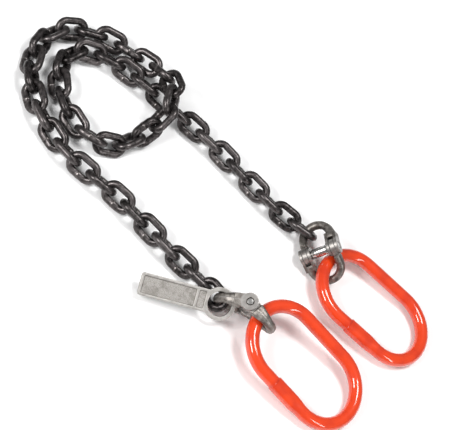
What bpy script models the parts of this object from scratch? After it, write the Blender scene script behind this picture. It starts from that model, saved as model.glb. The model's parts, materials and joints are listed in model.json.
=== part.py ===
"""Single-leg chain sling: one length of short link chain laid in two loose turns, with a coupling link
and a master link at each end and an identification tag on one coupling link.

Run with: blender --background --python part.py
Metres, +Z up. X runs along the two straight runs of chain towards the master links, Y across them.
"""

import math

import bmesh
import bpy
from mathutils import Matrix, Vector

MM = 0.001
GAP = 0.3 * MM  # play kept between pieces that bear on each other

# Chain: 7 mm short link chain, pitch three times the wire.
CHAIN_WIRE = 7.0 * MM
CHAIN_PITCH = 21.0 * MM
CHAIN_WIDTH_INSIDE = 9.4 * MM
CROWN = (CHAIN_PITCH + CHAIN_WIRE) / 2  # from a link's centre to its crown's wire centre
LINK_COUNT = 49
ROOT_LINK = 26  # the link that the two halves of the chain hang from in the joint tree
LINK_ROLL = math.radians(45)  # links lie alternately this far either way from flat
LINK_SIDES = 8
LINK_ARC_STEPS = 6

# Master links: oblong, 13 mm round wire, 110 x 60 mm inside, with one pressed flat.
MASTER_WIRE = 13.0 * MM
MASTER_LENGTH_INSIDE = 110.0 * MM
MASTER_WIDTH_INSIDE = 60.0 * MM
MASTER_SIDES = 12
MASTER_ARC_STEPS = 12
FLAT_LENGTH = 24.0 * MM
FLAT_STEP = 1.6 * MM  # length over which the round section changes into the flat one
FLAT_WIDTH = 15.4 * MM
FLAT_THICKNESS = 11.2 * MM

# Coupling links: two equal forged halves, each with a fork on one leg and a tongue on the other.
BOW_WIDTH = 7.6 * MM  # section of the bow in its own plane
BOW_THICKNESS = 8.7 * MM  # section of the bow square to its plane
BOW_SIDES = 10
LEG_SPREAD = 14.2 * MM  # from the middle of the half to each leg's centre line
LEG_END = 9.3 * MM  # from the pin's axis to where a leg begins
ARCH_START = 15.2 * MM  # from the pin's axis to where the bow begins to curve
EYE_RADIUS = 8.0 * MM
EYE_ROOT = 13.0 * MM  # how far the eyes reach back along the legs
TONGUE_THICKNESS = 5.0 * MM
EAR_THICKNESS = 2.9 * MM
PIN_DIAMETER = 6.2 * MM
PIN_CHAMFER = 0.7 * MM
SLEEVE_DIAMETER = 9.4 * MM
ROUND_SEGMENTS = 20
SLOT_THICKNESS = TONGUE_THICKNESS + 2 * GAP
FORK_THICKNESS = SLOT_THICKNESS + 2 * EAR_THICKNESS
EYE_BORE = PIN_DIAMETER + 2 * GAP
PIN_LENGTH = 2 * LEG_SPREAD + FORK_THICKNESS - 0.6 * MM
SLEEVE_LENGTH = 2 * LEG_SPREAD - FORK_THICKNESS - 2 * GAP

# Identification tag: a cast plate with a ring at one end.
TAG_THICKNESS = 4.0 * MM
TAG_RING_OUTER = 15.2 * MM
TAG_RING_INNER = 11.4 * MM
TAG_PLATE_START = 12.0 * MM  # from the ring's centre to the near end of the panels' border
TAG_PLATE_END = 76.0 * MM
TAG_PLATE_WIDTH = 20.8 * MM
TAG_RIM = 2.3 * MM
TAG_RECESS = 1.1 * MM
TAG_SMALL_PANEL = 7.0 * MM
TAG_DRAFT = 0.35 * MM  # how far a panel's wall leans outwards between its floor and the face

# The chain's route, in millimetres, from the near coupling link round both turns to the far one.
# The strand that comes round the outside climbs over the inner one at about x = -106.
ROUTE = (
    (53.8, -85.0, 11.6), (31.0, -81.0, 9.5), (0.0, -82.0, 9.4), (-40.0, -81.0, 9.4),
    (-85.0, -80.5, 9.4), (-125.0, -85.5, 9.4), (-150.0, -85.0, 9.4), (-182.0, -76.5, 9.4),
    (-205.0, -64.0, 9.4), (-222.0, -49.0, 9.4), (-234.0, -30.0, 9.4), (-239.0, -8.0, 9.4),
    (-235.0, 13.0, 9.4), (-222.0, 30.5, 9.4), (-204.0, 43.0, 9.4), (-185.0, 51.0, 9.4),
    (-166.0, 54.5, 11.0), (-148.0, 54.0, 17.0), (-132.0, 49.0, 26.4), (-118.0, 38.5, 33.8),
    (-109.5, 22.0, 32.6), (-106.0, 4.0, 22.8), (-107.5, -13.0, 11.0), (-112.0, -30.0, 9.4),
    (-121.5, -45.5, 9.4), (-137.0, -54.5, 9.4), (-155.0, -56.0, 9.4), (-173.0, -51.0, 9.4),
    (-189.0, -42.0, 9.4), (-203.0, -29.5, 9.4), (-211.5, -13.5, 9.4), (-211.5, 3.5, 9.4),
    (-202.0, 17.5, 9.4), (-186.5, 26.5, 9.4), (-166.0, 32.5, 9.4), (-140.0, 37.0, 9.4),
    (-100.0, 40.5, 9.4), (-60.0, 43.5, 9.4), (-20.0, 43.0, 9.4), (20.0, 42.5, 9.4),
    (46.0, 44.0, 9.6), (66.0, 48.0, 9.9), (90.0, 53.5, 10.2),
)

# How the fittings lie, as directions: where the chain-side half points from its pin, how the pin lies,
# and how far round the bow, from its crown, the chain bears. Angles in degrees.
NEAR_PIN = Vector((-0.10, -0.42, 0.90))
NEAR_UPPER = Vector((-0.835, -0.43, -0.345))
NEAR_LOWER = Vector((1.0, -0.03, -0.07))
NEAR_BEARING = -4.0
FAR_PIN = Vector((0.346, 0.542, 0.766))
FAR_UPPER = Vector((-0.70, 0.70, -0.12))
FAR_LOWER = Vector((0.96, -0.17, -0.22))
FAR_BEARING = -39.5

# Master links: where the end wire runs through the lower half (from the pin, along it and along the
# pin), and the way the link points from there: heading on the floor, and roll that lifts its +Y side.
NEAR_MASTER_REACH = 14.6 * MM
NEAR_MASTER_OFFSET = -1.8 * MM
NEAR_MASTER_HEADING = 3.5
NEAR_MASTER_ROLL = 5.0
FAR_MASTER_REACH = 14.6 * MM
FAR_MASTER_OFFSET = -0.3 * MM
FAR_MASTER_HEADING = 7.3
FAR_MASTER_ROLL = 0.0

# Tag: where the middle of its ring lies from the near upper half's pin, and the directions that its
# plate points in and faces.
TAG_MIDDLE = Vector((26.7, 7.4, -5.7)) * MM
TAG_ALONG = Vector((-0.842, -0.533, -0.086))
TAG_FACE = Vector((0.210, -0.475, 0.855))


# ---------------------------------------------------------------- materials


def material(name, colour, roughness, metallic):
    """A Principled material of one colour."""
    made = bpy.data.materials.new(name)
    made.use_nodes = True
    shader = made.node_tree.nodes["Principled BSDF"]
    shader.inputs["Base Color"].default_value = (*colour, 1.0)
    shader.inputs["Roughness"].default_value = roughness
    shader.inputs["Metallic"].default_value = metallic
    made.diffuse_color = (*colour, 1.0)
    return made


# ---------------------------------------------------------------- mesh tools


def mesh_from(name, bm, sharp_angle=40.0):
    """A smooth-shaded mesh from a bmesh, with edges over sharp_angle kept sharp."""
    bmesh.ops.recalc_face_normals(bm, faces=bm.faces)
    mesh = bpy.data.meshes.new(name)
    bm.to_mesh(mesh)
    bm.free()
    mesh.shade_smooth()
    mesh.set_sharp_from_angle(angle=math.radians(sharp_angle))
    return mesh


def sweep(stations, sides, closed):
    """A tube through stations of (centre, in-plane normal, binormal, half width, half thickness)."""
    bm = bmesh.new()
    rings = []
    for centre, normal, binormal, half_width, half_thickness in stations:
        ring = []
        for side in range(sides):
            angle = 2 * math.pi * side / sides
            across = normal * (half_width * math.cos(angle))
            ring.append(bm.verts.new(centre + across + binormal * (half_thickness * math.sin(angle))))
        rings.append(ring)
    pairs = list(zip(rings, rings[1:]))
    if closed:
        pairs.append((rings[-1], rings[0]))
    for first, second in pairs:
        for side in range(sides):
            following = (side + 1) % sides
            bm.faces.new((first[side], first[following], second[following], second[side]))
    if not closed:
        bm.faces.new(rings[0])
        bm.faces.new(list(reversed(rings[-1])))
    return bm


def oblong(length_inside, width_inside, wire, arc_steps, straight_stops=()):
    """Centre line of an oblong ring in the XY plane as (point, outward normal) pairs.

    straight_stops are extra stations on the -Y side, as x positions in rising order.
    """
    radius = (width_inside + wire) / 2
    reach = (length_inside + wire) / 2 - radius
    line = []
    for end in (1, -1):
        for step in range(arc_steps + 1):
            angle = -math.pi / 2 + math.pi * step / arc_steps + (0 if end > 0 else math.pi)
            normal = Vector((math.cos(angle), math.sin(angle), 0))
            line.append((Vector((end * reach, 0, 0)) + normal * radius, normal))
    down = Vector((0, -1, 0))
    line.extend((Vector((x, -radius, 0)), down) for x in straight_stops)
    return line


def outline_plate(points, thickness):
    """A plate with a flat outline in XZ, thickness across Y and centred on Y = 0."""
    bm = bmesh.new()
    face = bm.faces.new([bm.verts.new((x, -thickness / 2, z)) for x, z in points])
    made = bmesh.ops.extrude_face_region(bm, geom=[face])
    moved = [item for item in made["geom"] if isinstance(item, bmesh.types.BMVert)]
    bmesh.ops.translate(bm, vec=(0, thickness, 0), verts=moved)
    return bm


def round_bar(diameter, length, segments=ROUND_SEGMENTS, chamfer=0.0):
    """A bar along Y, centred on the origin, with optional chamfered ends."""
    bm = bmesh.new()
    turn = Matrix.Rotation(math.pi / 2, 4, "X")
    bmesh.ops.create_cone(
        bm, cap_ends=True, segments=segments, radius1=diameter / 2, radius2=diameter / 2,
        depth=length, matrix=turn,
    )
    if chamfer:
        rims = [edge for edge in bm.edges if abs(edge.verts[0].co.y - edge.verts[1].co.y) < length / 4]
        bmesh.ops.bevel(bm, geom=rims, offset=chamfer, segments=1, affect="EDGES")
    return bm


def box(size, centre):
    """A box as a bmesh."""
    bm = bmesh.new()
    bmesh.ops.create_cube(bm, size=1.0, matrix=Matrix.Translation(centre) @ Matrix.Diagonal((*size, 1)))
    return bm


def drafted_box(size, centre, draft):
    """A box whose foot is draft smaller all round than its middle, and its top draft larger."""
    bm = box(size, centre)
    for vert in bm.verts:
        away = vert.co - centre
        lean = draft if away.z > 0 else -draft
        vert.co += Vector((math.copysign(lean, away.x * lean), math.copysign(lean, away.y * lean), 0))
    return bm


def combine(base, steps):
    """Applies (operation, bmesh) Boolean steps in order to a bmesh and returns the resulting mesh."""
    body = bpy.data.objects.new("body", mesh_from("body", base))
    bpy.context.scene.collection.objects.link(body)
    for operation, bm in steps:
        tool = bpy.data.objects.new("tool", mesh_from("tool", bm))
        bpy.context.scene.collection.objects.link(tool)
        modifier = body.modifiers.new("cut", "BOOLEAN")
        modifier.operation = operation
        modifier.solver = "EXACT"
        modifier.object = tool
        bpy.context.view_layer.update()
        evaluated = body.evaluated_get(bpy.context.evaluated_depsgraph_get())
        result = bpy.data.meshes.new_from_object(evaluated)
        body.modifiers.remove(modifier)
        body.data = result
        bpy.data.objects.remove(tool)
    mesh = body.data
    bpy.data.objects.remove(body)
    mesh.shade_smooth()
    mesh.set_sharp_from_angle(angle=math.radians(35))
    return mesh


# ---------------------------------------------------------------- shapes


def link_mesh():
    """A chain link round the origin, long along X, lying in XY."""
    line = oblong(CHAIN_PITCH, CHAIN_WIDTH_INSIDE, CHAIN_WIRE, LINK_ARC_STEPS)
    up = Vector((0, 0, 1))
    half = CHAIN_WIRE / 2
    return mesh_from("link", sweep([(p, n, up, half, half) for p, n in line], LINK_SIDES, True))


def master_mesh():
    """A master link round the origin, long along X, lying in XY, its flat on the -Y side."""
    edge = FLAT_LENGTH / 2
    stops = (-edge - FLAT_STEP, -edge, edge, edge + FLAT_STEP)
    line = oblong(MASTER_LENGTH_INSIDE, MASTER_WIDTH_INSIDE, MASTER_WIRE, MASTER_ARC_STEPS, stops)
    up = Vector((0, 0, 1))
    stations = []
    for point, normal in line:
        flat = point.y < 0 and abs(point.x) <= edge + 1e-6
        half_width = (FLAT_WIDTH if flat else MASTER_WIRE) / 2
        half_thickness = (FLAT_THICKNESS if flat else MASTER_WIRE) / 2
        stations.append((point, normal, up, half_width, half_thickness))
    return mesh_from("master", sweep(stations, MASTER_SIDES, True))


def bow_point(angle, spread=LEG_SPREAD):
    """A point of the bow's centre line: angle 0 is the crown, +90 degrees the +Y leg's springing."""
    return Vector((ARCH_START + spread * math.cos(angle), spread * math.sin(angle), 0))


def eye_outline(radius, root, half_root):
    """Outline of an eye round the pin: an arc of radius, drawn back to a root of half height."""
    start = math.asin(half_root / radius) + math.radians(24)
    steps = ROUND_SEGMENTS - 4
    points = []
    for step in range(steps + 1):
        angle = start + (2 * math.pi - 2 * start) * step / steps
        points.append((radius * math.cos(angle), radius * math.sin(angle)))
    points.append((root, -half_root))
    points.append((root, half_root))
    return points


def half_mesh():
    """A coupling half: pin axis along Y through the origin, bow towards +X, fork at +Y, tongue at -Y."""
    width, thickness = BOW_WIDTH / 2, BOW_THICKNESS / 2
    up = Vector((0, 0, 1))
    stations = [(Vector((LEG_END, LEG_SPREAD, 0)), Vector((0, 1, 0)), up, width, thickness)]
    steps = 10
    for step in range(steps + 1):
        angle = math.pi / 2 - math.pi * step / steps
        normal = Vector((math.cos(angle), math.sin(angle), 0))
        stations.append((bow_point(angle), normal, up, width, thickness))
    stations.append((Vector((LEG_END, -LEG_SPREAD, 0)), Vector((0, -1, 0)), up, width, thickness))
    bow = sweep(stations, BOW_SIDES, False)

    fork = outline_plate(eye_outline(EYE_RADIUS, EYE_ROOT, thickness * 0.93), FORK_THICKNESS)
    bmesh.ops.translate(fork, vec=(0, LEG_SPREAD, 0), verts=fork.verts)
    tongue = outline_plate(eye_outline(EYE_RADIUS, EYE_ROOT, thickness * 0.93), TONGUE_THICKNESS)
    bmesh.ops.translate(tongue, vec=(0, -LEG_SPREAD, 0), verts=tongue.verts)
    slot_back = EYE_RADIUS + 2 * GAP
    slot_front = -EYE_RADIUS - 2 * MM
    slot_size = (slot_back - slot_front, SLOT_THICKNESS, 4 * EYE_RADIUS)
    slot = box(slot_size, Vector(((slot_back + slot_front) / 2, LEG_SPREAD, 0)))
    bore = round_bar(EYE_BORE, 4 * LEG_SPREAD)
    return combine(bow, (("UNION", fork), ("UNION", tongue), ("DIFFERENCE", slot), ("DIFFERENCE", bore)))


def pin_mesh():
    """The load pin along Y."""
    return mesh_from("pin", round_bar(PIN_DIAMETER, PIN_LENGTH, chamfer=PIN_CHAMFER))


def sleeve_mesh():
    """The centring sleeve along Y, bored for the pin."""
    outside = round_bar(SLEEVE_DIAMETER, SLEEVE_LENGTH)
    bore = round_bar(EYE_BORE, 2 * SLEEVE_LENGTH)
    return combine(outside, (("DIFFERENCE", bore),))


def tag_mesh():
    """The tag: ring round the origin, plate along +X, flat in XY, its panels sunk into the +Z face."""
    length = TAG_PLATE_END - TAG_RING_INNER
    plate = box((length, TAG_PLATE_WIDTH, TAG_THICKNESS), Vector((TAG_RING_INNER + length / 2, 0, 0)))
    turn = Matrix.Rotation(math.pi / 2, 4, "X")
    ring = round_bar(2 * TAG_RING_OUTER, TAG_THICKNESS * 0.98, segments=28)
    hole = round_bar(2 * TAG_RING_INNER, 3 * TAG_THICKNESS, segments=28)
    for bm in (ring, hole):
        bmesh.ops.transform(bm, matrix=turn, verts=bm.verts)
    deep = 2 * TAG_RECESS
    top = TAG_THICKNESS / 2
    panel_width = TAG_PLATE_WIDTH - 2 * TAG_RIM
    small_start = TAG_PLATE_START + TAG_RIM
    small_middle = Vector((small_start + TAG_SMALL_PANEL / 2, 0, top))
    small = drafted_box((TAG_SMALL_PANEL, panel_width, deep), small_middle, TAG_DRAFT)
    large_start = small_start + TAG_SMALL_PANEL + TAG_RIM
    large_length = TAG_PLATE_END - TAG_RIM - large_start
    large_middle = Vector((large_start + large_length / 2, 0, top))
    large = drafted_box((large_length, panel_width, deep), large_middle, TAG_DRAFT)
    steps = (("UNION", ring), ("DIFFERENCE", hole), ("DIFFERENCE", small), ("DIFFERENCE", large))
    return combine(plate, steps)


# ---------------------------------------------------------------- the chain's lie


def smooth_route(points, density=40):
    """A dense centripetal Catmull-Rom curve through the route's points, in metres."""
    knots = [Vector(point) * MM for point in points]
    knots = [2 * knots[0] - knots[1]] + knots + [2 * knots[-1] - knots[-2]]
    curve = []
    for p0, p1, p2, p3 in zip(knots, knots[1:], knots[2:], knots[3:]):
        t0 = 0.0
        t1 = t0 + math.sqrt((p1 - p0).length)
        t2 = t1 + math.sqrt((p2 - p1).length)
        t3 = t2 + math.sqrt((p3 - p2).length)
        for step in range(density):
            t = t1 + (t2 - t1) * step / density
            a1 = (t1 - t) / (t1 - t0) * p0 + (t - t0) / (t1 - t0) * p1
            a2 = (t2 - t) / (t2 - t1) * p1 + (t - t1) / (t2 - t1) * p2
            a3 = (t3 - t) / (t3 - t2) * p2 + (t - t2) / (t3 - t2) * p3
            b1 = (t2 - t) / (t2 - t0) * a1 + (t - t0) / (t2 - t0) * a2
            b2 = (t3 - t) / (t3 - t1) * a2 + (t - t1) / (t3 - t1) * a3
            curve.append((t2 - t) / (t2 - t1) * b1 + (t - t1) / (t2 - t1) * b2)
    curve.append(knots[-2])
    return curve


def reach_along(curve, begin, origin, distance):
    """The first sample from begin on that lies at least distance from origin, and its index."""
    for index in range(begin, len(curve)):
        offset = curve[index] - origin
        if offset.length >= distance:
            return origin + offset * (distance / offset.length), index
    return origin + (curve[-1] - curve[-2]).normalized() * distance, len(curve) - 1


def frame_of(x_axis, y_axis, origin):
    """A placement whose X follows x_axis and whose Y lies as near y_axis as it can."""
    x_axis = x_axis.normalized()
    z_axis = x_axis.cross(y_axis).normalized()
    y_axis = z_axis.cross(x_axis)
    turn = Matrix((x_axis, y_axis, z_axis)).transposed().to_4x4()
    return Matrix.Translation(origin) @ turn


def lying_frame(along, roll, centre):
    """A link's placement: X along it, Y across it in its own plane, turned by roll from level."""
    level = Vector((0, 0, 1)).cross(along).normalized()
    rise = along.cross(level)
    return frame_of(along, level * math.cos(roll) + rise * math.sin(roll), centre)


def link_frames():
    """The links' placements along the route.

    Each link's crown wire stays one wire and the play away from its neighbour's, on the side that the
    neighbour bears on once the link has swung about both crowns, so that no bend makes them overlap.
    """
    curve = smooth_route(ROUTE)
    spacing = CHAIN_WIRE + GAP
    half_pitch = CROWN - spacing / 2
    end, index = reach_along(curve, 0, curve[0], 2 * half_pitch)
    along = (end - curve[0]).normalized()
    frames = [lying_frame(along, -LINK_ROLL, curve[0] + along * half_pitch)]
    for number in range(1, LINK_COUNT):
        before = frames[-1]
        crown = before @ Vector((CROWN, 0, 0))
        swing_axis = (before.to_3x3() @ Vector((0, 1, 0))).normalized()
        start = crown - along * spacing
        for _ in range(6):
            target, found = reach_along(curve, index, start, CROWN + half_pitch)
            along = (target - start).normalized()
            bearing = (along - swing_axis * along.dot(swing_axis)).normalized()
            start = crown - bearing * spacing
        index = found
        roll = LINK_ROLL if number % 2 else -LINK_ROLL
        frames.append(lying_frame(along, roll, start + along * CROWN))
    return frames


def crown_of(frame, end):
    """The middle of the wire at a link's crown: end +1 is the route's forward end."""
    return frame @ Vector((end * CROWN, 0, 0))


# ---------------------------------------------------------------- fittings' lie


def coupling(chain_frame, end, upper, pin, lower, bearing):
    """Placements of a coupling's two halves: the upper bears on the chain's last crown."""
    outward = (chain_frame.to_3x3() @ Vector((end, 0, 0))).normalized()
    contact = crown_of(chain_frame, end) - outward * ((CHAIN_WIRE + BOW_THICKNESS) / 2 + 2.5 * GAP)
    upper_turn = frame_of(upper, pin, Vector((0, 0, 0)))
    centre = contact - (upper_turn.to_3x3() @ bow_point(math.radians(bearing)))
    pin_axis = upper_turn.to_3x3() @ Vector((0, 1, 0))
    lower_in_plane = lower - pin_axis * lower.dot(pin_axis)
    lower_frame = frame_of(lower_in_plane, -pin_axis, centre)
    return Matrix.Translation(centre) @ upper_turn, lower_frame


def master_frame(lower_frame, reach, offset, heading, roll):
    """A master link whose near end wire runs through the lower half and which rests on the floor."""
    radius = (MASTER_LENGTH_INSIDE + MASTER_WIRE) / 2
    bend = (MASTER_WIDTH_INSIDE + MASTER_WIRE) / 2
    held = lower_frame @ Vector((reach, offset, 0))
    ahead = Vector((math.cos(math.radians(heading)), math.sin(math.radians(heading)), 0))
    level = Vector((0, 0, 1)).cross(ahead)
    low, high = 0.0, math.radians(45)
    for _ in range(50):
        slope = (low + high) / 2
        along = ahead * math.cos(slope) - Vector((0, 0, 1)) * math.sin(slope)
        across = level * math.cos(math.radians(roll)) + along.cross(level) * math.sin(math.radians(roll))
        foot = held.z + (2 * radius - bend) * along.z - bend * math.hypot(along.z, across.z)
        low, high = (slope, high) if foot > MASTER_WIRE / 2 else (low, slope)
    return frame_of(along, across, held + along * radius)


def tag_frame(upper_frame):
    """The tag, its ring threaded through the near upper half."""
    return frame_of(TAG_ALONG, TAG_FACE.cross(TAG_ALONG), upper_frame @ TAG_MIDDLE)


# ---------------------------------------------------------------- building


def place(name, mesh, finish, world, parent, pivot=None):
    """An object at a world placement under parent, through an empty at pivot where it turns."""
    made = bpy.data.objects.new(name, mesh)
    if not mesh.materials:
        mesh.materials.append(finish)
    bpy.context.scene.collection.objects.link(made)
    holder = parent
    if pivot is not None:
        holder = bpy.data.objects.new("hinge_" + name, None)
        holder.empty_display_size = CHAIN_WIRE
        bpy.context.scene.collection.objects.link(holder)
        settle(holder, Matrix.Translation(pivot), parent)
    settle(made, world, holder)
    return made


def settle(made, world, parent):
    """Parents an object and gives it the location and rotation that put it at a world placement."""
    made.parent = parent
    above = WORLD[parent.name]
    made.matrix_local = above.inverted() @ world
    WORLD[made.name] = world


WORLD = {}  # each object's world placement, kept while the tree is built


def build_chain(assembly, finish, frames):
    """All links, from the root link outwards, each turning about its neighbour's crown."""
    mesh = link_mesh()
    made = {}
    made[ROOT_LINK] = place(f"chain_link_{ROOT_LINK + 1:02d}", mesh, finish, frames[ROOT_LINK], assembly)
    for step, stop in ((1, LINK_COUNT), (-1, -1)):
        for index in range(ROOT_LINK + step, stop, step):
            pivot = crown_of(frames[index - step], step)
            name = f"chain_link_{index + 1:02d}"
            made[index] = place(name, mesh, finish, frames[index], made[index - step], pivot)
    return made


def build_end(name, last_link, crown, upper_frame, lower_frame, master, finishes, meshes):
    """One end's coupling link and master link."""
    forged, bright, painted = finishes
    half, pin, sleeve, ring = meshes
    upper = place(f"{name}_coupler_chain_half", half, forged, upper_frame, last_link, crown)
    place(f"{name}_coupler_pin", pin, bright, upper_frame, upper)
    place(f"{name}_coupler_sleeve", sleeve, bright, upper_frame, upper)
    centre = upper_frame.to_translation()
    lower = place(f"{name}_coupler_master_half", half, forged, lower_frame, upper, centre)
    wire = master @ Vector((-(MASTER_LENGTH_INSIDE + MASTER_WIRE) / 2, 0, 0))
    place(f"{name}_master_link", ring, painted, master, lower, wire)
    return upper


def lowest_and_box(objects):
    """Corners of the box round the objects, from their world placements."""
    corners = [WORLD[made.name] @ vertex.co for made in objects for vertex in made.data.vertices]
    lows = Vector([min(corner[axis] for corner in corners) for axis in range(3)])
    highs = Vector([max(corner[axis] for corner in corners) for axis in range(3)])
    return lows, highs


def layout():
    """Every placement in the sling, by name."""
    frames = link_frames()
    near_upper, near_lower = coupling(frames[0], -1, NEAR_UPPER, NEAR_PIN, NEAR_LOWER, NEAR_BEARING)
    far_upper, far_lower = coupling(frames[-1], 1, FAR_UPPER, FAR_PIN, FAR_LOWER, FAR_BEARING)
    return {
        "links": frames,
        "near_upper": near_upper,
        "near_lower": near_lower,
        "near_master": master_frame(
            near_lower, NEAR_MASTER_REACH, NEAR_MASTER_OFFSET, NEAR_MASTER_HEADING, NEAR_MASTER_ROLL,
        ),
        "far_upper": far_upper,
        "far_lower": far_lower,
        "far_master": master_frame(
            far_lower, FAR_MASTER_REACH, FAR_MASTER_OFFSET, FAR_MASTER_HEADING, FAR_MASTER_ROLL,
        ),
        "tag": tag_frame(near_upper),
    }


def main():
    """Builds the sling with the middle of its box's foot at the origin."""
    for old in list(bpy.data.objects):
        bpy.data.objects.remove(old, do_unlink=True)
    WORLD.clear()
    black = material("blackened_steel", (0.045, 0.042, 0.042), 0.38, 0.9)
    forged = material("forged_steel", (0.33, 0.31, 0.29), 0.42, 0.9)
    bright = material("bright_steel", (0.62, 0.60, 0.58), 0.25, 1.0)
    cast = material("cast_steel", (0.45, 0.44, 0.42), 0.5, 0.85)
    painted = material("orange_paint", (0.80, 0.10, 0.02), 0.25, 0.0)

    assembly = bpy.data.objects.new("sling", None)
    bpy.context.scene.collection.objects.link(assembly)
    WORLD["sling"] = Matrix.Identity(4)
    places = layout()
    links = build_chain(assembly, black, places["links"])
    meshes = (half_mesh(), pin_mesh(), sleeve_mesh(), master_mesh())
    finishes = (forged, bright, painted)
    near_crown = crown_of(places["links"][0], -1)
    near = build_end(
        "near", links[0], near_crown, places["near_upper"], places["near_lower"],
        places["near_master"], finishes, meshes,
    )
    build_end(
        "far", links[LINK_COUNT - 1], crown_of(places["links"][-1], 1), places["far_upper"],
        places["far_lower"], places["far_master"], finishes, meshes,
    )
    tag_pivot = places["tag"].to_translation()
    place("identification_tag", tag_mesh(), cast, places["tag"], near, tag_pivot)

    solids = [made for made in bpy.data.objects if made.type == "MESH"]
    low, high = lowest_and_box(solids)
    assembly.location = Vector((-(low.x + high.x) / 2, -(low.y + high.y) / 2, -low.z))
    bpy.context.view_layer.update()
    return places


main()
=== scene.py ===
"""Looks of a single-leg chain sling: dark short link chain, forged coupling links, painted master links
and a cast tag, each built round the solid that it stands for."""

import json
import logging
import math
from dataclasses import dataclass
from enum import Enum

import bmesh
import bpy
import numpy as np
from mathutils import Matrix, Vector, noise


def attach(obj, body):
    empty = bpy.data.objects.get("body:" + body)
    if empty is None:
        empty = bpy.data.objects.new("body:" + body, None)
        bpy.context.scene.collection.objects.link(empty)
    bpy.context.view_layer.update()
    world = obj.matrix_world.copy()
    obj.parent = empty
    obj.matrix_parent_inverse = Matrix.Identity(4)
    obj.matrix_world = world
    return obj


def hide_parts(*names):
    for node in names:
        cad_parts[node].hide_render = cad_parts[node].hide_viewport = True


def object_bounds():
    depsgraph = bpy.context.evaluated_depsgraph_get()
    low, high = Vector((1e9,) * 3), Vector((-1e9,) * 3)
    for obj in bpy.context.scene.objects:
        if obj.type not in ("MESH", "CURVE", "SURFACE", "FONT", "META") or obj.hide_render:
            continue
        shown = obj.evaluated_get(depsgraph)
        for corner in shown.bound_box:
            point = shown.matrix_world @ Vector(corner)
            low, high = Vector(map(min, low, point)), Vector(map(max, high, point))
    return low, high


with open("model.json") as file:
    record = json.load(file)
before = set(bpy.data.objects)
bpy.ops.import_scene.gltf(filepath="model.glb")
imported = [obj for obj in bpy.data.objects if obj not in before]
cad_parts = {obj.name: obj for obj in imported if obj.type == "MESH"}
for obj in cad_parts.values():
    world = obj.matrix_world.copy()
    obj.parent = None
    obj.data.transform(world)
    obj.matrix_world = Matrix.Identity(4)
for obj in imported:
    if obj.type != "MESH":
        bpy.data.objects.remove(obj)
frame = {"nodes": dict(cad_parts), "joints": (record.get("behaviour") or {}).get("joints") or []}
cad_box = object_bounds()

MM = 0.001
LOG = logging.getLogger("chain_sling")
BELL_BASE = 2.718
Colour = tuple[float, float, float]


class Slot(Enum):
    """The record's material slots."""

    BLACKENED = "blackened_steel"
    FORGED = "forged_steel"
    BRIGHT = "bright_steel"
    CAST = "cast_steel"
    PAINT = "orange_paint"


class End(Enum):
    """The two ends of the sling."""

    NEAR = "near"
    FAR = "far"


class Half(Enum):
    """A coupling link's two halves: one holds the chain, the other the master link."""

    CHAIN = "chain"
    MASTER = "master"


# ---------------------------------------------------------------- node trees


class Value:
    """A number that flows between nodes; arithmetic on it adds Math nodes."""

    def __init__(self, graph: "Graph", socket: bpy.types.NodeSocket) -> None:
        """Wraps one output socket of the graph."""
        self.graph = graph
        self.socket = socket

    def math(self, operation: str, *others: "Value | float", swapped: bool = False) -> "Value":
        """Adds a Math node.

        Args:
            operation: the Math node's operation.
            others: its further operands.
            swapped: True puts this value last.

        Returns:
            The node's result.
        """
        operands: list["Value | float"] = [self, *others]
        if swapped:
            operands.reverse()
        node = self.graph.node("ShaderNodeMath", {"operation": operation}, dict(enumerate(operands)))
        return Value(self.graph, node.outputs[0])

    def __add__(self, other: "Value | float") -> "Value":
        """This plus other."""
        return self.math("ADD", other)

    def __radd__(self, other: float) -> "Value":
        """Other plus this."""
        return self.math("ADD", other, swapped=True)

    def __sub__(self, other: "Value | float") -> "Value":
        """This minus other."""
        return self.math("SUBTRACT", other)

    def __rsub__(self, other: float) -> "Value":
        """Other minus this."""
        return self.math("SUBTRACT", other, swapped=True)

    def __mul__(self, other: "Value | float") -> "Value":
        """This times other."""
        return self.math("MULTIPLY", other)

    def __rmul__(self, other: float) -> "Value":
        """Other times this."""
        return self.math("MULTIPLY", other, swapped=True)

    def __truediv__(self, other: "Value | float") -> "Value":
        """This over other."""
        return self.math("DIVIDE", other)

    def __rtruediv__(self, other: float) -> "Value":
        """Other over this."""
        return self.math("DIVIDE", other, swapped=True)

    def __pow__(self, other: "Value | float") -> "Value":
        """This to the power of other."""
        return self.math("POWER", other)

    def __rpow__(self, other: float) -> "Value":
        """Other to the power of this."""
        return self.math("POWER", other, swapped=True)

    def __abs__(self) -> "Value":
        """This without its sign."""
        return self.math("ABSOLUTE")

    def __lt__(self, other: "Value | float") -> "Value":
        """1 where this is less than other."""
        return self.math("LESS_THAN", other)

    def __gt__(self, other: "Value | float") -> "Value":
        """1 where this is more than other."""
        return self.math("GREATER_THAN", other)

    def rise(self, low: float, high: float) -> "Value":
        """A smooth step of this, from 0 at low to 1 at high, or falling where low is the larger.

        Args:
            low: where the result is 0.
            high: where the result is 1.

        Returns:
            The step's value.
        """
        values = {0: self, 1: low, 2: high, 3: 0.0, 4: 1.0}
        node = self.graph.node("ShaderNodeMapRange", {"interpolation_type": "SMOOTHSTEP"}, values)
        return Value(self.graph, node.outputs[0])

    def bell(self) -> "Value":
        """A bell curve of this, 1 at 0 and nearly 0 beyond 2 on either side."""
        return BELL_BASE ** (self ** 2.0 * -1.0)


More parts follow.
